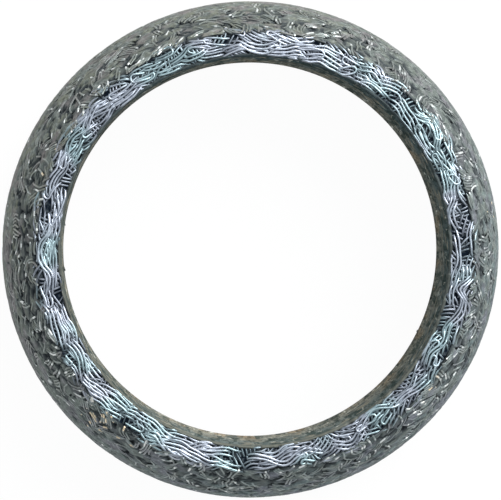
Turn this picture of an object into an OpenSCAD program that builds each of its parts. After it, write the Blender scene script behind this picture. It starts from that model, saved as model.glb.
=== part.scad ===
/* [Ring] */
// Bore of the ring, a close sliding fit on a 50.8 mm exhaust pipe
bore_d = 51; // [40:0.5:70]
// Height from the wide back face to the tops of the end face's wires
height = 19; // [14:0.5:24]
// Width of the wide flat back face, from the bore to the land
base_wall = 8.3; // [7:0.1:11]
// Width of the narrow end face, from the bore to the rounded seat
end_wall = 3.34; // [2.8:0.02:4.5]
// Height of the short straight land between the back face and the seat
land_h = 1.5; // [0.8:0.1:3]
// Small bevel on the edges of the bore and of the back face
edge_bevel = 0.35; // [0.2:0.05:0.6]

/* [End face wires] */
// Width of one pressed wire
wire_w = 0.28; // [0.2:0.02:0.32]
// Gap between neighbouring wires of a bundle
wire_gap = 0.13; // [0.1:0.01:0.2]
// Wires that run side by side in a bundle
bundle_wires = 4; // [2:1:4]
// Bundles that bow outwards, with as many that bow inwards
bundle_count = 16; // [12:1:22]
// How far the top wires stand out of the pressed graphite
wire_stand = 0.24; // [0.16:0.02:0.32]
// Drop from one layer of crossing wires to the layer under it
layer_drop = 0.06; // [0.04:0.01:0.07]
// Bend radius of the small knit loops that show between the bundles
hook_r = 0.55; // [0.45:0.05:0.7]

/* [Seat hatching] */
// Length of a gap between flattened wires on the rounded seat
gap_l = 1.5; // [1.2:0.1:2]
// Width of such a gap
gap_w = 0.26; // [0.2:0.02:0.36]
// Depth of such a gap
gap_depth = 0.12; // [0.08:0.02:0.2]
// Distance between neighbouring gaps of one patch
gap_pitch = 0.6; // [0.5:0.05:0.8]
// Rows of patches up the seat
patch_rows = 3; // [1:1:3]
// Patches in a row
patch_count = 13; // [8:1:13]
// Mean slant of a patch to the ring's axis, in degrees
patch_slant = 40; // [20:1:60]

/* [Hidden] */
bore_r = bore_d / 2;
base_r = bore_r + base_wall;
end_r = bore_r + end_wall;
face_z = height - wire_stand;
// The seat is part of a ball that meets the top of the land and the rim of the end face
seat_z = (end_r ^ 2 - base_r ^ 2 + face_z ^ 2 - land_h ^ 2) / (2 * (face_z - land_h));
seat_r = norm([base_r, land_h - seat_z]);
// Wires keep this far inside the two edges of the end face
wire_inset = 0.12;
wire_pitch = wire_w + wire_gap;
// Depth to which a wire is rooted in the ring
wire_root = 0.3;
inner_apex_r = bore_r + edge_bevel + wire_inset + wire_w / 2;
outer_apex_r = end_r - wire_inset - wire_w / 2;
bundle_step = 360 / bundle_count;
// Half of the angle about the axis that one bowed bundle spans
bundle_half = 0.36 * bundle_step;
// From the first to the last wire of a bundle
bundle_w = (bundle_wires - 1) * wire_pitch;
// Angle of the end face's rim above the ball's centre
rim_angle = asin((face_z - seat_z) / seat_r);
// Facets to a full circle, on the ring and on a wire's bend
ring_fn = 80;
wire_fn = 20;
graphite = [0.42, 0.43, 0.40];
steel = [0.72, 0.74, 0.76];

// Section of the ring, from the axis outwards
module ring_section() {
  intersection() {
    polygon([
      [bore_r + edge_bevel, 0], [base_r - edge_bevel, 0], [base_r, edge_bevel], [base_r, face_z],
      [bore_r + edge_bevel, face_z], [bore_r, face_z - edge_bevel], [bore_r, edge_bevel]
    ]);
    union() {
      translate([0, seat_z]) circle(r = seat_r, $fn = ring_fn);
      square([base_r, land_h]);
    }
  }
}

// One pressed wire, bent to an arc about the local Z axis and standing to the given layer
module wire_arc(bend_r, sweep, layer) {
  rotate([0, 0, -sweep / 2])
    rotate_extrude(angle = sweep, $fn = wire_fn)
      translate([bend_r - wire_w / 2, face_z - wire_root])
        square([wire_w, wire_root + wire_stand - layer * layer_drop]);
}

// A bundle of parallel wires whose apex lies on +X and whose feet lie at the given radius
module bowed_bundle(apex_r, foot_r, layer) {
  centre = (apex_r ^ 2 - foot_r ^ 2) / (2 * (apex_r - foot_r * cos(bundle_half)));
  outwards = apex_r > foot_r;
  bend_r = abs(apex_r - centre);
  sweep = 2 * atan2(foot_r * sin(bundle_half), abs(foot_r * cos(bundle_half) - centre));
  translate([centre, 0, 0]) rotate([0, 0, outwards ? 0 : 180])
    for (k = [0 : bundle_wires - 1]) wire_arc(bend_r - k * wire_pitch, sweep, layer);
}

// Wires of the end face: bundles that bow outwards and inwards in turn, with small loops between
module end_wires() {
  drift = rands(-0.12, 0.12, 3 * bundle_count, 7);
  for (i = [0 : bundle_count - 1]) {
    rotate([0, 0, (i + drift[3 * i]) * bundle_step])
      bowed_bundle(outer_apex_r, inner_apex_r + bundle_w, i % 2);
    rotate([0, 0, (i + 0.5 + drift[3 * i + 1]) * bundle_step])
      bowed_bundle(inner_apex_r, outer_apex_r - bundle_w, 2);
    rotate([0, 0, (i + 0.5 + drift[3 * i + 2]) * bundle_step])
      translate([outer_apex_r - hook_r, 0, 0]) wire_arc(hook_r, 150, 1);
  }
}

// Gaps between flattened wires, in slanted patches on the rounded seat
module seat_gaps() {
  drift = rands(-0.35, 0.35, patch_rows * patch_count, 11);
  for (row = [0 : patch_rows - 1], i = [0 : patch_count - 1]) {
    lift = rim_angle * (row + 0.9) / (patch_rows + 0.5);
    stray = drift[row * patch_count + i];
    turn = (i + row / 2 + stray) * 360 / patch_count;
    slant = ((i + row) % 2 == 0 ? 1 : -1) * patch_slant * (1 + stray);
    translate([0, 0, seat_z]) rotate([0, -lift, turn]) translate([seat_r - gap_depth, 0, 0])
      rotate([slant, 0, 0]) for (k = [-1 : 1])
        translate([0, (k - 0.5) * gap_pitch, -gap_l / 2]) cube([2 * gap_depth, gap_w, gap_l]);
  }
}

module gasket_ring() {
  union() {
    color(graphite) difference() {
      rotate_extrude($fn = ring_fn) ring_section();
      seat_gaps();
    }
    color(steel) end_wires();
  }
}

gasket_ring();
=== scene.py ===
import math

import bpy
import numpy as np
from mathutils import Matrix, Vector, kdtree, noise


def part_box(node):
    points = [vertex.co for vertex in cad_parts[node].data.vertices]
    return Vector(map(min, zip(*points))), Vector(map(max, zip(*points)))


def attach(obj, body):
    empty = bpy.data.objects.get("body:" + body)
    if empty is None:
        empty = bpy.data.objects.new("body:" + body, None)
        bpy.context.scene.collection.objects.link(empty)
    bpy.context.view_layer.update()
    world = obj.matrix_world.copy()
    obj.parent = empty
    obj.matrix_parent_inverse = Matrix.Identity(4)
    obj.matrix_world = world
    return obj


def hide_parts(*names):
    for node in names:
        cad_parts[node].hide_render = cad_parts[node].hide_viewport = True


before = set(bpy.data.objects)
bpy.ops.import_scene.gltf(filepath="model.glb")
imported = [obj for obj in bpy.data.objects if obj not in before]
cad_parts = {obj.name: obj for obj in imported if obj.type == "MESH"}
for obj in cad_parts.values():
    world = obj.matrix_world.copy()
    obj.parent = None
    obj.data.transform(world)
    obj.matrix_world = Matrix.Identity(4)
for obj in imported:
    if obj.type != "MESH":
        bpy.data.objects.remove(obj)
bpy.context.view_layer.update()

MM = 0.001

# Camera. It looks down on the narrow end face from far away, a little to the upper left of the
# ring's axis, so a strip of the bore's wall shows at the right and the bottom.
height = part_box("gasket_ring")[1].z / MM
camera_distance = 0.426
camera_side = Vector((-0.040, 0.014, 1.0)).normalized()
aim_at = Vector((-0.00067, 0.00016, height * MM))

camera_data = bpy.data.cameras.new("camera")
camera_data.lens = 233.5
camera_data.sensor_width = 36.0
camera_data.clip_start = 0.05
camera_data.clip_end = 5.0
camera = bpy.data.objects.new("camera", camera_data)
bpy.context.scene.collection.objects.link(camera)
camera.location = Vector((0.0, 0.0, height * MM)) + camera_distance * camera_side
backward = (camera.location - aim_at).normalized()
right = Vector((0.0, 1.0, 0.0)).cross(backward).normalized()
turned = Matrix((right, backward.cross(right), backward)).transposed()
camera.rotation_euler = turned.to_euler()
bpy.context.scene.camera = camera


# Graphite body. Flake graphite is packed into a rolled sleeve of knitted steel wire, and a die
# presses both to a ring with a plain bore, a flat back, a short land and a ball-shaped seat.
# The graphite lies a little lower than the wires' crests, and is smeared over them in places.
bore_r = 25.5
base_r = 33.8
end_r = 28.84
land_h = 1.5
edge_r = 0.45
rim_soft = 0.35
seat_z = (end_r ** 2 - base_r ** 2 + height ** 2 - land_h ** 2) / (2 * (height - land_h))
seat_r = math.hypot(base_r, land_h - seat_z)
seat_low = math.asin((land_h - seat_z) / seat_r)
seat_high = math.asin((height - seat_z) / seat_r)
seat_mid_r = (base_r + end_r) / 2
seat_run = seat_r * (seat_high - seat_low)
turn_steps = 850
fill_sink = 0.58
face_low_z = height - fill_sink


def crest_z(r):
    """Height of the pressed end face at radius r, with its two edges rounded off."""
    ball = seat_z + np.sqrt(np.maximum(seat_r ** 2 - r ** 2, 0.0))
    gap = (ball - height) / rim_soft
    top = height - rim_soft * np.log1p(np.exp(np.clip(-gap, -30, 30)))
    lean = np.clip(bore_r + edge_r - r, 0.0, edge_r)
    return top - edge_r + np.sqrt(edge_r ** 2 - lean ** 2)


class Patches:
    """Patches of nested wires on one face: each point of the face belongs to the nearest seed."""

    def __init__(self, rng, run, width, cell_run, cell_width):
        self.run, self.width = run, width
        self.scale = (1.0 / cell_run, 1.0 / cell_width)
        columns = max(3, round(run / cell_run))
        rows = max(1, round(width / cell_width))
        self.seeds = []
        for i in range(columns):
            for j in range(rows):
                s = (i + 0.5 * (j % 2) + rng.uniform(-0.38, 0.38)) * run / columns
                t = (j + 0.5 + rng.uniform(-0.38, 0.38)) * width / rows
                self.seeds.append((s % run, t))
        self.tree = kdtree.KDTree(3 * len(self.seeds))
        for number, (s, t) in enumerate(self.seeds):
            for lap in (-1, 0, 1):
                self.tree.insert(self.place(s + lap * run, t), number)
        self.tree.balance()

    def place(self, s, t):
        return Vector((s * self.scale[0], t * self.scale[1], 0.0))

    def owner(self, s, t):
        return self.tree.find(self.place(s, t))[1]

    def border(self, s, t):
        """How far inside its patch a point lies, near 0 on the border between two patches."""
        first, second = self.tree.find_n(self.place(s, t), 2)
        return second[2] - first[2]


rng = np.random.default_rng(12)
seat_patches = Patches(rng, math.tau * seat_mid_r, seat_run, cell_run=2.8, cell_width=3.2)


def smooth(low, high, value):
    share = min(max((value - low) / (high - low), 0.0), 1.0)
    return share * share * (3.0 - 2.0 * share)


def smear(point, scale, seed):
    """Slow change of a surface, from about -1 to 1."""
    return noise.noise(Vector((point[0] / scale + seed, point[1] / scale, point[2] / scale)))


def seat_point(s, t, depth):
    """The point at s along the seat's middle and t up from the land, sunk by depth."""
    angle = s / seat_mid_r
    lift = seat_low + t / seat_r
    out = (seat_r - depth) * math.cos(lift)
    return out * math.cos(angle), out * math.sin(angle), seat_z + (seat_r - depth) * math.sin(lift)


# Pits where a fold of the sleeve leaves a hole in the seat: long, mostly round the ring
pit_count = 760
pit_tree = kdtree.KDTree(pit_count)
pit_shapes = []
for number in range(pit_count):
    s = rng.uniform(0.0, math.tau * seat_mid_r)
    t = 3.0 + (seat_run - 3.2) * rng.beta(1.9, 1.1)
    pit_tree.insert((s, t, 0.0), number)
    slant = math.radians(rng.normal(0.0, 38.0))
    length, width = rng.uniform(0.35, 1.15), rng.uniform(0.17, 0.36)
    pit_shapes.append((math.cos(slant), math.sin(slant), length, width))
pit_tree.balance()


def pit(s, t):
    """1 in the middle of a pit and 0 outside."""
    deepest = 0.0
    for spot, number, _ in pit_tree.find_n((s, t, 0.0), 2):
        along, across, length, width = pit_shapes[number]
        off_s, off_t = s - spot[0], t - spot[1]
        lengthwise = (off_s * along + off_t * across) / length
        crosswise = (off_t * along - off_s * across) / width
        far = math.hypot(lengthwise, crosswise)
        deepest = max(deepest, 1.0 - smooth(0.35, 1.0, far))
    return deepest


smeared_sink = 0.035
bare_sink = 0.13
crack_sink = 0.3
pit_sink = 0.34
rim_sink = 0.4


def seat_sink(s, t):
    """How deep the graphite lies on the seat: hardly at all where it is smeared over the wires."""
    point = seat_point(s, t, 0.0)
    bare = smooth(-0.2, 0.3, smear(point, 2.3, 1) + 0.65 * smooth(5.0, 13.0, t) - 0.4)
    sink = smeared_sink + bare_sink * bare + 0.03 * smear(point, 3.0, 9) + 0.04 * smear(point, 0.7, 2)
    crack = 1.0 - smooth(0.0, 0.19, seat_patches.border(s, t))
    sink += crack_sink * crack * smooth(-0.1, 0.3, smear(point, 1.4, 3)) * smooth(3.0, 8.0, t)
    sink += pit_sink * pit(s, t)
    sink += rim_sink * smooth(seat_run - 1.0, seat_run, t) * smooth(-0.3, 0.4, smear(point, 1.6, 6))
    return max(sink, 0.0)


# Section of the graphite, down the bore, out over the back, up the land and the seat, and in over
# the low floor of the end face to the lip that stands between that floor and the bore. The seat's
# points crowd towards its top, where most of its pits and cracks are.
wall_gap = 0.03
corner = 0.38
lip_foot_z = height - 0.46
seat_shares = np.linspace(0.0, 1.0, 82)[1:-1] ** 0.88
section = [(bore_r + wall_gap, z) for z in np.linspace(lip_foot_z, 0.4, 12)]
section += [(r, wall_gap) for r in np.linspace(bore_r + corner, base_r - corner, 9)]
section += [(base_r - 0.04, z) for z in np.linspace(0.4, land_h, 3)]
for lift in seat_low + (seat_high - seat_low) * seat_shares:
    section.append((seat_r * math.cos(lift), seat_z + seat_r * math.sin(lift)))
section += [(r, face_low_z) for r in np.linspace(end_r - 0.25, bore_r + 0.56, 9)]
for in_from_bore, below_face in ((0.4, 0.3), (0.27, 0.17), (0.11, 0.26)):
    section.append((bore_r + in_from_bore, height - below_face))

bpy.ops.object.select_all(action="DESELECT")
bpy.ops.mesh.primitive_circle_add(vertices=len(section), radius=1.0)
body = bpy.context.object
body.name = "graphite_body"
for vertex, (r, z) in zip(body.data.vertices, section):
    vertex.co = (r * MM, 0.0, z * MM)
bpy.ops.object.mode_set(mode="EDIT")
bpy.ops.mesh.select_all(action="SELECT")
bpy.ops.mesh.spin(steps=turn_steps, angle=math.tau, center=(0, 0, 0), axis=(0, 0, 1))
bpy.ops.mesh.select_all(action="SELECT")
bpy.ops.mesh.remove_doubles(threshold=0.002 * MM)
bpy.ops.mesh.normals_make_consistent(inside=False)
bpy.ops.object.mode_set(mode="OBJECT")


def read_points(piece):
    points = np.empty(len(piece.data.vertices) * 3)
    piece.data.vertices.foreach_get("co", points)
    return points.reshape(-1, 3) / MM


def write_points(piece, points, **values):
    """Moves the piece's points, and keeps each named value of its points for its material."""
    piece.data.vertices.foreach_set("co", (points * MM).ravel())
    for name, value in values.items():
        kept = piece.data.attributes.new(name, "FLOAT", "POINT")
        kept.data.foreach_set("value", np.asarray(value, dtype=np.float32))
    piece.data.update()
    bpy.ops.object.shade_smooth_by_angle(angle=math.radians(70))


points = read_points(body)
deep = np.zeros(len(points))
for number, point in enumerate(points):
    r = math.hypot(point[0], point[1])
    ball = math.hypot(r, point[2] - seat_z)
    on_lip = r < bore_r + 0.45 and point[2] > lip_foot_z - 0.02
    on_face_floor = r < end_r - 0.2 and point[2] > face_low_z - 0.01
    on_seat = ball > seat_r - 0.02 and point[2] > land_h
    if on_lip:
        sink = 0.3 * smooth(0.0, 0.4, smear(point, 1.1, 7))
        deep[number] = 0.5 * sink
        point[2] -= sink
    elif on_face_floor:
        point[2] += 0.15 * smear(point, 0.7, 5)
        deep[number] = 1.0
    elif on_seat:
        lift = math.asin((point[2] - seat_z) / seat_r)
        s = math.atan2(point[1], point[0]) % math.tau * seat_mid_r
        sink = seat_sink(s, (lift - seat_low) * seat_r)
        deep[number] = sink
        share = (ball - sink) / ball
        point[0] *= share
        point[1] *= share
        point[2] = seat_z + (point[2] - seat_z) * share
    elif r < bore_r + 0.05:
        sink = 0.03 * (1.0 + smear(point, 1.4, 2)) * smooth(0.4, 2.0, point[2])
        deep[number] = sink
        point[0] *= 1.0 + sink / r
        point[1] *= 1.0 + sink / r
    elif point[2] < 0.05:
        point[2] += 0.05 * (1.0 + smear(point, 2.0, 4))
write_points(body, points, deep=deep)


class Tone:
    """One output of a material's nodes, so that sums on it are written as plain expressions."""

    # Numbers of a Mix node's two colour inputs and of its colour output
    mix_dark, mix_light, mix_out = 6, 7, 2

    def __init__(self, tree, socket):
        self.tree, self.socket = tree, socket

    def node(self, kind, settings=None, sockets=None, out=0):
        made = self.tree.nodes.new(kind)
        for name, value in (settings or {}).items():
            setattr(made, name, value)
        for name, value in (sockets or {}).items():
            if isinstance(value, Tone):
                self.tree.links.new(value.socket, made.inputs[name])
            else:
                made.inputs[name].default_value = value
        return Tone(self.tree, made.outputs[out])

    def math(self, operation, *others):
        values = dict(enumerate((self, *others)))
        return self.node("ShaderNodeMath", {"operation": operation}, values)

    def __add__(self, other):
        return self.math("ADD", other)

    __radd__ = __add__

    def __mul__(self, other):
        return self.math("MULTIPLY", other)

    __rmul__ = __mul__

    def __sub__(self, other):
        return self.math("SUBTRACT", other)

    def __rsub__(self, other):
        return (self * -1.0) + other

    def stretched(self, *scales):
        return self.node("ShaderNodeVectorMath", {"operation": "MULTIPLY"}, {0: self, 1: scales})

    def part(self, axis):
        """One part of a vector: 0 for X, 1 for Y and 2 for Z."""
        return self.node("ShaderNodeSeparateXYZ", sockets={"Vector": self}, out=axis)

    def toward(self, *direction):
        """How far a vector reaches in a direction."""
        ends = {0: self, 1: direction}
        return self.node("ShaderNodeVectorMath", {"operation": "DOT_PRODUCT"}, ends, out="Value")

    def kept(self, name):
        """The value of that name that the piece's points keep."""
        return self.node("ShaderNodeAttribute", {"attribute_name": name}, out="Fac")

    def above(self, low, high):
        """0 below low, 1 above high and smooth between."""
        ends = {"Value": self, "From Min": low, "From Max": high}
        return self.node("ShaderNodeMapRange", {"interpolation_type": "SMOOTHSTEP"}, ends)

    def blend(self, dark, light):
        """The colour dark where this is 0, and light where it is 1."""
        ends = {"Factor": self}
        for number, colour in ((self.mix_dark, dark), (self.mix_light, light)):
            ends[number] = colour if isinstance(colour, Tone) else (*colour, 1.0)
        return self.node("ShaderNodeMix", {"data_type": "RGBA"}, ends, out=self.mix_out)

    def grain(self, scale, detail=2.0, rough=0.5):
        """Noise over this vector, from about 0 to 1."""
        ends = {"Vector": self, "Scale": scale, "Detail": detail, "Roughness": rough}
        return self.node("ShaderNodeTexNoise", sockets=ends)


def new_material(name):
    """A material, its shader, and its piece's own coordinates in metres."""
    made = bpy.data.materials.new(name)
    made.use_nodes = True
    tree = made.node_tree
    start = Tone(tree, None)
    place = start.node("ShaderNodeTexCoord", out="Object")
    return made, tree.nodes["Principled BSDF"], place


def feed(shader, place, **tones):
    for name, tone in tones.items():
        place.tree.links.new(tone.socket, shader.inputs[name.replace("_", " ")])


def grimy(place, strength):
    """Graphite's own grey, mottled with olive, mauve and blue-green as a heat-tinted mesh is."""
    side = place.toward(-0.6, 0.8, 0.0).above(-0.030, 0.030)
    blue_green, olive, between = (0.160, 0.210, 0.212), (0.192, 0.206, 0.164), (0.178, 0.205, 0.190)
    mauve = side.blend((0.182, 0.196, 0.228), (0.216, 0.202, 0.198))
    tint = place.grain(620.0, 3.0).above(0.40, 0.60).blend(side.blend(blue_green, olive), between)
    tint = place.grain(380.0, 3.0).above(0.45, 0.65).blend(tint, mauve)
    pale = place.grain(2000.0, 2.0, 0.6).above(0.53, 0.68) * strength
    tint = pale.blend(tint, (0.36, 0.39, 0.38))
    dusk = place.grain(1300.0, 3.0, 0.6).above(0.66, 0.32) * strength
    return dusk.blend(tint, (0.045, 0.052, 0.054))


warm_top, warm_foot = 15.0, 2.0
lip_r = bore_r + 0.5
lip_z = height - 1.2
soot_cold_and_shaded, soot_warm_and_lit = (0.092, 0.132, 0.138), (0.32, 0.31, 0.26)
soot_dark, soot_black, left_wall_dark = (0.042, 0.062, 0.056), (0.030, 0.040, 0.038), (0.045, 0.058, 0.052)
rust_brown = (0.34, 0.255, 0.165)
bright_fleck = (0.62, 0.63, 0.56)
lip_shaded_teal, lip_lit_olive = (0.045, 0.06, 0.066), (0.13, 0.133, 0.112)
gap_painted_shade, gap_painted_shade_black = (0.060, 0.070, 0.073), (0.025, 0.030, 0.034)
face_floor_shade_black, face_floor_shade_grey = (0.006, 0.010, 0.017), (0.07, 0.085, 0.095)

graphite, shader, place = new_material("pressed_graphite")
deep = place.kept("deep")
flat = place.stretched(1.0, 1.0, 0.0)
across = flat.node("ShaderNodeVectorMath", {"operation": "LENGTH"}, {0: flat}, out="Value")
wall = 1.0 - across.above((bore_r + 0.15) * MM, (bore_r + 0.35) * MM)
level = place.part(2)
low = level.above(warm_top * MM, warm_foot * MM)
scuffs = place.stretched(1.0, 1.0, 0.15)
# Painted light: the bore's wall is lighter and warmer on the ring's -Y side, whose inner faces turn
# towards the lamp, and also warmer towards its foot.
lamp_facing_side = place.toward(0.1, 1.0, 0.0).above(0.026, -0.026)
wall_soot_and_light = (low * 0.75 + lamp_facing_side * 0.25).blend(soot_cold_and_shaded, soot_warm_and_lit)
wall_soot_and_light = (scuffs.grain(800.0, 3.0, 0.6).above(0.45, 0.6) * 0.8).blend(wall_soot_and_light, soot_dark)
rust = scuffs.grain(420.0, 2.0).above(0.52, 0.62) * low
wall_soot_and_light = (rust * 0.6).blend(wall_soot_and_light, rust_brown)
wall_soot_and_light = (scuffs.grain(2300.0, 3.0, 0.6).above(0.48, 0.62) * 0.6).blend(wall_soot_and_light, soot_black)
wall_soot_and_light = scuffs.grain(1300.0, 3.0, 0.6).above(0.62, 0.72).blend(wall_soot_and_light, bright_fleck)
# The bore's wall is darker towards its left (-X) side.
wall_soot_and_light = (place.part(0).above(-0.008, -0.022) * 0.75).blend(wall_soot_and_light, left_wall_dark)
base = wall.blend(grimy(place, 0.6), wall_soot_and_light)
lip = level.above(lip_z * MM, (lip_z + 0.6) * MM) * (1.0 - across.above(lip_r * MM, (lip_r + 0.3) * MM))
# Painted light: the lip is a lighter olive where it faces the lamp and a darker teal where it turns away
# from it.
base = (lip * 0.85).blend(base, lamp_facing_side.blend(lip_shaded_teal, lip_lit_olive))
# Painted shade: the deeper the graphite lies below the wires' crests, in cracks, pits and on the end
# face's low floor, the darker it is painted, down to near black.
base = deep.above(0.08, 0.24).blend(base, gap_painted_shade)
base = deep.above(0.26, 0.44).blend(base, gap_painted_shade_black)
face_floor_painted_shade = place.grain(1600.0, 2.0).above(0.45, 0.7).blend(face_floor_shade_black, face_floor_shade_grey)
base = deep.above(0.6, 0.9).blend(base, face_floor_painted_shade)
mottle = place.grain(700.0, 3.0, 0.6)
bump = place.node("ShaderNodeBump", sockets={"Strength": 0.5, "Distance": 0.00008, "Height": mottle})
feed(shader, place, Base_Color=base, Normal=bump, Metallic=wall * -0.3 + 0.3, Roughness=wall * 0.35 + 0.5)
shader.inputs["Specular IOR Level"].default_value = 0.0
body.data.materials.append(graphite)
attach(body, "root")
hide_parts("gasket_ring")


# End face wires. The sleeve's folded edge ends up on the narrow face, where its loops lie pressed
# flat and bare: nests of parallel wires that wave round the ring, cross over each other and dive
# under their neighbours, worn bright on top, with deep gaps between. The dark of those gaps is
# painted shade on the wires' sides, on the lower wires and on the graphite floor beneath.
bare_r = 0.175
face_in_r = bore_r + 0.26
face_mid_r = (bore_r + end_r) / 2
face_run = math.tau * face_mid_r
face_width = end_r - face_in_r
face_step = 0.4
tightest_bend = 0.3
widest_swing = 2.6


def nested_strands(patches, rng, pitches, step, bends, slants, overlap, missing, hidden=None):
    """Wires that lie side by side in arcs within each patch, as pairs of patch and points (s, t)."""
    strands = []
    for number, (seed_s, seed_t) in enumerate(patches.seeds):
        pitch = rng.uniform(*pitches)
        slant = math.radians(rng.uniform(*slants)) * rng.choice((-1, 1))
        bend = rng.uniform(*bends) * rng.choice((-1, 1))
        centre_s = seed_s - bend * math.sin(slant)
        centre_t = seed_t + bend * math.cos(slant)
        toward = math.atan2(seed_t - centre_t, seed_s - centre_s)
        reach = 1.1 * max(1.0 / patches.scale[0], 1.0 / patches.scale[1])
        count = int(reach / pitch)
        for k in range(-count, count + 1):
            radius = abs(bend) + k * pitch
            if radius < tightest_bend or rng.random() < missing:
                continue
            swing = min(reach / radius, widest_swing)
            run = []
            for angle in toward + np.arange(-swing, swing + step / radius, step / radius):
                s = centre_s + radius * math.cos(angle)
                t = centre_t + radius * math.sin(angle)
                inside = 0.0 < t < patches.width and patches.owner(s, t) == number
                inside = inside and angle < toward + swing and not (hidden and hidden(s, t))
                if inside:
                    run.append((s, t))
                elif run:
                    if len(run) > 1:
                        strands.append((number, extend(run, overlap, step)))
                    run = []
    return strands


def extend(run, overlap, step):
    """The run with both its ends carried on straight, so that they reach under the next patch."""
    first, second = Vector(run[0]), Vector(run[1])
    last, before = Vector(run[-1]), Vector(run[-2])
    extra = max(1, round(overlap / step))
    head = [tuple(first + (first - second) * k) for k in range(extra, 0, -1)]
    tail = [tuple(last + (last - before) * k) for k in range(1, extra + 1)]
    return head + run + tail


def sway(x, y, scale, seed):
    """A gentle shove that is alike for neighbouring wires, as three numbers from about -1 to 1."""
    return [noise.noise(Vector((x / scale, y / scale, seed + far))) for far in (0.3, 17.6, 41.1)]


def add_wires(name, paths, radius):
    """One mesh of six-sided wires along the given paths, in millimetres."""
    ring = bpy.data.curves.new("wire_section", "CURVE")
    edge = ring.splines.new("POLY")
    edge.points.add(5)
    edge.use_cyclic_u = True
    for k, point in enumerate(edge.points):
        turn = math.tau * k / 6
        point.co = (radius * MM * math.cos(turn), radius * MM * math.sin(turn), 0.0, 1.0)
    profile = bpy.data.objects.new("wire_section", ring)
    bpy.context.scene.collection.objects.link(profile)
    curve = bpy.data.curves.new(name, "CURVE")
    curve.dimensions = "3D"
    curve.bevel_mode = "OBJECT"
    curve.bevel_object = profile
    curve.use_fill_caps = True
    for path in paths:
        spline = curve.splines.new("POLY")
        spline.points.add(len(path) - 1)
        flat = np.ones((len(path), 4))
        flat[:, :3] = np.array(path) * MM
        spline.points.foreach_set("co", flat.ravel())
    wires = bpy.data.objects.new(name, curve)
    bpy.context.scene.collection.objects.link(wires)
    bpy.ops.object.select_all(action="DESELECT")
    wires.select_set(True)
    bpy.context.view_layer.objects.active = wires
    bpy.ops.object.convert(target="MESH")
    wires = bpy.context.object
    bpy.data.objects.remove(profile)
    bpy.ops.object.mode_set(mode="EDIT")
    bpy.ops.mesh.select_all(action="SELECT")
    bpy.ops.mesh.remove_doubles(threshold=0.001 * MM)
    bpy.ops.mesh.normals_make_consistent(inside=False)
    bpy.ops.object.mode_set(mode="OBJECT")
    return wires


def path_numbers(points, paths):
    """For each point of a mesh of wires, the number of the path point it was made from."""
    tree = kdtree.KDTree(sum(len(path) for path in paths))
    for number, point in enumerate(point for path in paths for point in path):
        tree.insert(point, number)
    tree.balance()
    return [tree.find(point)[1] for point in points]


def face_point(s, t, depth):
    angle = s / face_mid_r
    r = face_in_r + t
    return r * math.cos(angle), r * math.sin(angle), float(crest_z(np.float64(r))) - bare_r - depth


def lay_on_face(strands, depth, dive, seed, spread=0.1, clean=(0.6, 1.0)):
    """Places strands on the end face: each patch at a depth of its own, with both ends sunk."""
    levels = {}
    for number, run in strands:
        level = levels.setdefault(number, rng.uniform(0.0, spread))
        shift = rng.uniform(-0.035, 0.035)
        worn = rng.uniform(*clean)
        path = []
        for k, (s, t) in enumerate(run):
            push = sway(s, t, 1.8, seed)
            end = 1.0 - smooth(0.0, 1.0, min(k, len(run) - 1 - k) * face_step)
            s += 0.3 * push[0]
            t = max(t + 0.3 * push[1] + shift, 0.05)
            path.append(face_point(s, t, depth + level + dive * end + 0.05 * push[2]))
            face_worn.append(worn + 0.2 * push[0])
        face_paths.append(path)


def waves(count, lengths, wires, middles, rises):
    """Bundles of a few long wires that wave over the others, round the ring."""
    runs = []
    for number in range(count):
        start = (number + rng.uniform(0.0, 1.0)) * face_run / count
        middle = rng.uniform(*middles)
        wave, phase = rng.uniform(5.0, 10.0), rng.uniform(0.0, math.tau)
        pitch = rng.uniform(0.42, 0.5)
        rise, length = rng.uniform(*rises), rng.uniform(*lengths)
        for k in range(rng.integers(*wires)):
            late = rng.uniform(0.0, 1.5)
            line = []
            for s in np.arange(late, length - rng.uniform(0.0, 1.5), face_step):
                t = middle + pitch * k + rise * math.sin(phase + math.tau * s / wave)
                line.append((start + s, t))
            runs.append((number, line))
    return runs


def hooks(count):
    """Small knit loops: a wire that comes, turns right round and goes back."""
    runs = []
    for number in range(count):
        start, middle = rng.uniform(0.0, face_run), rng.uniform(0.6, face_width - 0.1)
        turn = rng.normal(0.0, 0.3) + rng.choice((0.0, math.pi))
        bend = rng.choice((0.26, 0.32, 0.4, 0.5))
        line = [(-leg, bend) for leg in np.arange(rng.uniform(0.8, 3.0), 0.0, -face_step)]
        line += [(bend * math.sin(a), bend * math.cos(a)) for a in np.arange(0.0, math.pi + 0.1, 0.5)]
        line += [(-leg, -bend) for leg in np.arange(face_step, rng.uniform(0.8, 3.0), face_step)]
        along, across = math.cos(turn), math.sin(turn)
        line = [(start + x * along - y * across, middle + x * across + y * along) for x, y in line]
        runs.append((number, line))
    return runs


face_paths = []
face_worn = []
mid_patches = Patches(rng, face_run, face_width + 0.35, cell_run=3.8, cell_width=1.5)
low_patches = Patches(rng, face_run, face_width, cell_run=2.2, cell_width=1.6)

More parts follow.
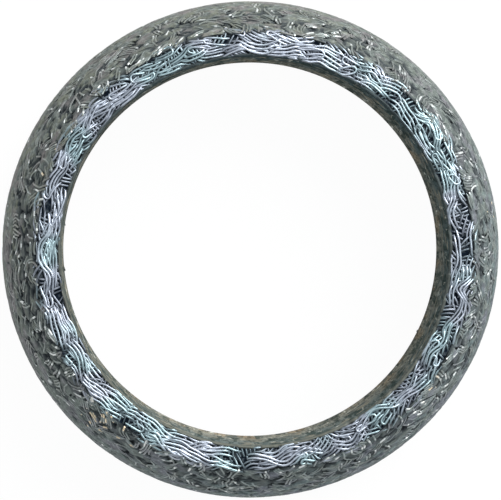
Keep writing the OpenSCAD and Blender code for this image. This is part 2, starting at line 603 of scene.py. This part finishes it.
inner = waves(29, lengths=(5.0, 9.0), wires=(2, 5), middles=(0.1, 0.7), rises=(0.2, 0.5))
lay_on_face(inner, depth=0.04, dive=0.3, seed=3.0, spread=0.16, clean=(0.5, 1.0))
outer_middles = (face_width - 1.7, face_width - 0.9)
outer = waves(27, lengths=(4.0, 9.0), wires=(2, 5), middles=outer_middles, rises=(0.2, 0.6))
lay_on_face(outer, depth=0.02, dive=0.3, seed=4.0, spread=0.16, clean=(0.5, 1.0))
top_middles = (0.4, face_width - 0.9)
top = waves(15, lengths=(5.0, 11.0), wires=(1, 4), middles=top_middles, rises=(0.4, 0.9))
lay_on_face(top, depth=-0.06, dive=0.3, seed=5.0, spread=0.03)
rim_middles = (face_width - 0.5, face_width + 0.1)
rim = waves(16, lengths=(3.0, 6.0), wires=(1, 3), middles=rim_middles, rises=(0.2, 0.5))
lay_on_face(rim, depth=-0.03, dive=0.3, seed=5.0)
lay_on_face(hooks(36), depth=-0.03, dive=0.25, seed=2.0)


def off_floor(s, t):
    """Whether a point lies at the face's two edges, where the lowest wires aren't seen."""
    return t < 0.2 or t > face_width - 0.2


# The patches left out of the middle layer are windows on the lowest wires
windows = {number for number in range(len(mid_patches.seeds)) if rng.random() < 0.28}
mid = nested_strands(mid_patches, rng, pitches=(0.44, 0.54), step=face_step, bends=(2.5, 10.0),
                     slants=(0.0, 28.0), overlap=0.4, missing=0.12)
mid = [strand for strand in mid if strand[0] not in windows]
lay_on_face(mid, depth=0.15, dive=0.2, seed=8.0, spread=0.1, clean=(0.4, 1.0))
lowest = nested_strands(low_patches, rng, pitches=(0.46, 0.6), step=face_step, bends=(1.5, 6.0),
                        slants=(40.0, 90.0), overlap=0.1, missing=0.1, hidden=off_floor)
lay_on_face(lowest, depth=0.22, dive=0.12, seed=6.0, spread=0.1, clean=(0.3, 1.0))

face_wires = add_wires("end_face_wires", face_paths, bare_r)
points = read_points(face_wires)
numbers = path_numbers(points, face_paths)
deep = np.concatenate(face_paths)[numbers, 2] + bare_r - points[:, 2]
crest = crest_z(np.hypot(points[:, 0], points[:, 1]))
points[:, 2] = np.minimum(points[:, 2], crest)
write_points(face_wires, points, deep=deep, sunk=crest - points[:, 2], worn=np.array(face_worn)[numbers])

steel_green, steel_blue = (0.39, 0.51, 0.54), (0.47, 0.51, 0.58)
dull_steel = (0.05, 0.065, 0.08)
wire_side_painted_shade, sunk_painted_shade = (0.018, 0.028, 0.038), (0.012, 0.018, 0.028)

bare_wire, shader, place = new_material("bare_wire")
bright = place.grain(180.0, 1.0).above(0.4, 0.6).blend(steel_green, steel_blue)
worn = place.kept("worn")
deep = place.kept("deep")
patchy = place.grain(1300.0, 2.0).above(0.25, 0.6)
base = (worn.above(0.0, 0.9) * (0.6 + patchy * 0.4)).blend(dull_steel, bright)
# Painted shade: each wire's sides and underside, below its crest, are darkened.
base = deep.above(0.1, 0.21).blend(base, wire_side_painted_shade)
sunk = place.kept("sunk")
# Painted shade: wires that lie well below the face's crest are darkened, as if shaded by the wires above
# them.
base = (sunk.above(0.16, 0.46) * 0.7).blend(base, sunk_painted_shade)
feed(shader, place, Base_Color=base)
shader.inputs["Metallic"].default_value = 1.0
shader.inputs["Roughness"].default_value = 0.45
face_wires.data.materials.append(bare_wire)
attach(face_wires, "root")
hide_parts("gasket_ring")


# Seat wires. On the ball-shaped seat the same loops are ironed flush by the die, grey with
# graphite, so they show as patches of fine parallel hatching with dark gaps between, and here and
# there a crest is rubbed white. The dark of the gaps is painted shade on the wires' sides.
wire_r = 0.155
seat_step = 0.55
seat_press = 0.03
seat_gap = 0.012
rim_gap = 0.03


def covered(s, t):
    """Whether graphite hides a wire here, or a pit swallows it."""
    broken = smear(seat_point(s, t, 0.0), 0.8, 11) < -0.12
    return broken or seat_sink(s, t) < 0.05 or pit(s, t) > 0.25


hatch = nested_strands(seat_patches, rng, pitches=(0.36, 0.5), step=seat_step, bends=(1.3, 7.0),
                       slants=(20.0, 90.0), overlap=0.15, missing=0.2, hidden=covered)
paths = []
seat_worn = []
for number, run in hatch:
    path = []
    sunk, luck = rng.uniform(0.0, 0.05), rng.uniform(0.0, 30.0)
    for k, (s, t) in enumerate(run):
        push = sway(s, t, 1.5, 4.0)
        end = 1.0 - smooth(0.0, 0.6, min(k, len(run) - 1 - k) * seat_step)
        s += 0.35 * push[0]
        t = min(max(t + 0.35 * push[1], 1.2), seat_run - 0.05)
        path.append(seat_point(s, t, wire_r - seat_press + sunk + 0.08 * end))
        rub = smear((s, t, luck), 1.1, 7) + 0.2 * smooth(8.0, seat_run, t)
        if pit(s, t) > 0.01:
            rub += 0.2
        seat_worn.append(0.35 + 0.25 * push[0] + 0.9 * smooth(0.43, 0.56, rub))
    paths.append(path)
seat_wires = add_wires("seat_wires", paths, wire_r)
points = read_points(seat_wires)
numbers = path_numbers(points, paths)
ball_centre = np.array((0.0, 0.0, seat_z))
ball = np.linalg.norm(points - ball_centre, axis=1)
deep = np.linalg.norm(np.concatenate(paths)[numbers] - ball_centre, axis=1) + wire_r - ball
share = np.minimum(1.0, (seat_r - seat_gap) / ball)
points = (points - ball_centre) * share[:, None] + ball_centre
points[:, 2] = np.minimum(points[:, 2], height - rim_gap)
write_points(seat_wires, points, deep=deep, worn=np.array(seat_worn)[numbers])

smeared_steel, seat_groove_painted_shade = (0.31, 0.36, 0.355), (0.065, 0.074, 0.077)
rubbed_white, rubbed_warm = (0.68, 0.71, 0.70), (0.70, 0.59, 0.42)

seat_metal, shader, place = new_material("ironed_wire")
worn = place.kept("worn")
deep = place.kept("deep")
patchy = place.grain(1100.0, 2.0).above(0.3, 0.65)
base = (worn.above(0.1, 0.8) * patchy).blend(grimy(place, 0.35), smeared_steel)
rubbed = worn.above(0.8, 1.05)
base = rubbed.blend(base, place.grain(70.0, 1.0).above(0.62, 0.68).blend(rubbed_white, rubbed_warm))
# Painted shade: the sides of the ironed wires, below their flat crests, are darkened, which draws the
# dark grooves between them.
base = (deep - rubbed * 0.1).above(0.05, 0.15).blend(base, seat_groove_painted_shade)
feed(shader, place, Base_Color=base)
shader.inputs["Metallic"].default_value = 0.55
shader.inputs["Roughness"].default_value = 0.4
seat_wires.data.materials.append(seat_metal)
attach(seat_wires, "root")
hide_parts("gasket_ring")


# Bore wires. The mandrel in the die irons the sleeve's inner turns flush with the bore's wall,
# where soot and graphite leave only short lengths of them to be seen.
bore_step = 0.7
bore_run = math.tau * bore_r
bore_width = height - 2.2
bore_foot = 0.9
wall_press = 0.02
bore_gap = 0.006


def bore_point(s, t, depth):
    r = bore_r + wire_r - wall_press + depth
    return r * math.cos(s / bore_r), r * math.sin(s / bore_r), t + bore_foot


def sooted(s, t):
    """Whether soot hides a wire here."""
    return smear(bore_point(s, t, 0.0), 1.6, 8) < 0.02


def lay_wires(strands, place_point, step, seed):
    """Paths of the strands on a plain face, with both ends sunk, and how worn each point is."""
    paths, worn = [], []
    for number, run in strands:
        path = []
        sunk, luck = rng.uniform(0.0, 0.05), rng.uniform(0.0, 30.0)
        for k, (s, t) in enumerate(run):
            push = sway(s, t, 2.2, seed)
            end = 1.0 - smooth(0.0, 0.6, min(k, len(run) - 1 - k) * step)
            path.append(place_point(s + 0.3 * push[0], t + 0.2 * push[1], sunk + 0.1 * end))
            worn.append(0.3 + 0.9 * smooth(0.3, 0.6, smear((s, t, luck), 1.1, 7)))
        paths.append(path)
    return paths, worn


bore_patches = Patches(rng, bore_run, bore_width, cell_run=6.0, cell_width=3.0)
strands = nested_strands(bore_patches, rng, pitches=(0.42, 0.6), step=bore_step, bends=(4.0, 20.0),
                         slants=(0.0, 30.0), overlap=0.1, missing=0.2, hidden=sooted)
paths, worn = lay_wires(strands, bore_point, bore_step, 1.0)
bore_wires = add_wires("bore_wires", paths, wire_r)
points = read_points(bore_wires)
numbers = path_numbers(points, paths)
radii = np.hypot(points[:, 0], points[:, 1])
middle = np.hypot(*np.concatenate(paths)[numbers, :2].T)
share = np.maximum(1.0, (bore_r + bore_gap) / radii)
points[:, :2] *= share[:, None]
write_points(bore_wires, points, deep=radii - middle + wire_r, worn=np.array(worn)[numbers])

soot_green, soot_olive = (0.070, 0.095, 0.094), (0.25, 0.235, 0.185)
soot_rubbed, bore_groove_painted_shade = (0.55, 0.56, 0.50), (0.025, 0.032, 0.031)

sooty_metal, shader, place = new_material("sooty_wire")
worn = place.kept("worn")
deep = place.kept("deep")
base = place.grain(500.0, 2.0).above(0.35, 0.65).blend(soot_green, soot_olive)
base = worn.above(0.5, 1.2).blend(base, soot_rubbed)
# Painted shade: the sides of the wires, turned into the wall, are darkened.
base = deep.above(0.05, 0.15).blend(base, bore_groove_painted_shade)
feed(shader, place, Base_Color=base)
shader.inputs["Metallic"].default_value = 0.2
shader.inputs["Roughness"].default_value = 0.7
shader.inputs["Specular IOR Level"].default_value = 0.1
bore_wires.data.materials.append(sooty_metal)
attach(bore_wires, "root")
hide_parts("gasket_ring")


# Back wires. The wide back face is pressed flat against the die's plate, so the same patches of
# loops lie flush in smeared graphite there, as on the seat.
back_step = 0.6
back_mid_r = (bore_r + base_r) / 2
back_edge = 0.6
back_width = base_r - bore_r - 2 * back_edge
back_gap = 0.004


def back_point(s, t, depth):
    r = bore_r + back_edge + t
    return r * math.cos(s / back_mid_r), r * math.sin(s / back_mid_r), wire_r - wall_press + depth


def smeared(s, t):
    """Whether graphite hides a wire here."""
    return smear(back_point(s, t, 0.0), 2.4, 3) < -0.12


back_patches = Patches(rng, math.tau * back_mid_r, back_width, cell_run=3.6, cell_width=2.7)
strands = nested_strands(back_patches, rng, pitches=(0.4, 0.52), step=back_step, bends=(2.0, 9.0),
                         slants=(0.0, 90.0), overlap=0.1, missing=0.15, hidden=smeared)
paths, worn = lay_wires(strands, back_point, back_step, 2.0)
back_wires = add_wires("back_wires", paths, wire_r)
points = read_points(back_wires)
numbers = path_numbers(points, paths)
deep = points[:, 2] - np.concatenate(paths)[numbers, 2] + wire_r
points[:, 2] = np.maximum(points[:, 2], back_gap)
write_points(back_wires, points, deep=deep, worn=np.array(worn)[numbers])
back_wires.data.materials.append(seat_metal)
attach(back_wires, "root")
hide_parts("gasket_ring")


# Floor and light. A plain white sheet under the ring, soft studio light from all round and one
# broad lamp high at the upper right, where the photo's light comes from.
bpy.ops.object.select_all(action="DESELECT")
bpy.ops.mesh.primitive_plane_add(size=6.0, location=(0.0, 0.0, 0.0))
floor = bpy.context.object
floor.name = "floor"
floor_paint, shader, place = new_material("floor_white")
shader.inputs["Base Color"].default_value = (0.9, 0.9, 0.9, 1.0)
shader.inputs["Roughness"].default_value = 0.9
seen = place.node("ShaderNodeLightPath", out="Is Camera Ray")
seen = seen.math("MAXIMUM", place.node("ShaderNodeLightPath", out="Is Glossy Ray"))
seen = seen.math("MAXIMUM", place.node("ShaderNodeLightPath", out="Is Transmission Ray"))
glow = place.node("ShaderNodeEmission")
shaded = Tone(place.tree, shader.outputs[0])
sheet = place.node("ShaderNodeMixShader", sockets={0: seen * 0.96, 1: shaded, 2: glow})
place.tree.links.new(sheet.socket, place.tree.nodes["Material Output"].inputs["Surface"])
floor.data.materials.append(floor_paint)

world = bpy.data.worlds.new("studio")
bpy.context.scene.world = world
world.use_nodes = True
sky = Tone(world.node_tree, None)
upward = sky.node("ShaderNodeTexCoord", out="Generated").part(2)
glow = upward.above(0.2, 0.95).blend((0.24, 0.26, 0.27), (0.93, 0.97, 1.0))
seen = sky.node("ShaderNodeLightPath", out="Is Camera Ray")
world.node_tree.links.new(seen.blend(glow, (1.0, 1.0, 1.0)).socket,
                          world.node_tree.nodes["Background"].inputs["Color"])

lamp_data = bpy.data.lights.new("key", "AREA")
lamp_data.energy = 13.5
lamp_data.size = 0.7
lamp = bpy.data.objects.new("key", lamp_data)
bpy.context.scene.collection.objects.link(lamp)
lamp.location = (0.46, 0.54, 0.6)
lamp.rotation_euler = (Vector((0.0, 0.0, 0.01)) - lamp.location).to_track_quat("-Z", "Y").to_euler()

bpy.context.scene.view_settings.view_transform = "Standard"
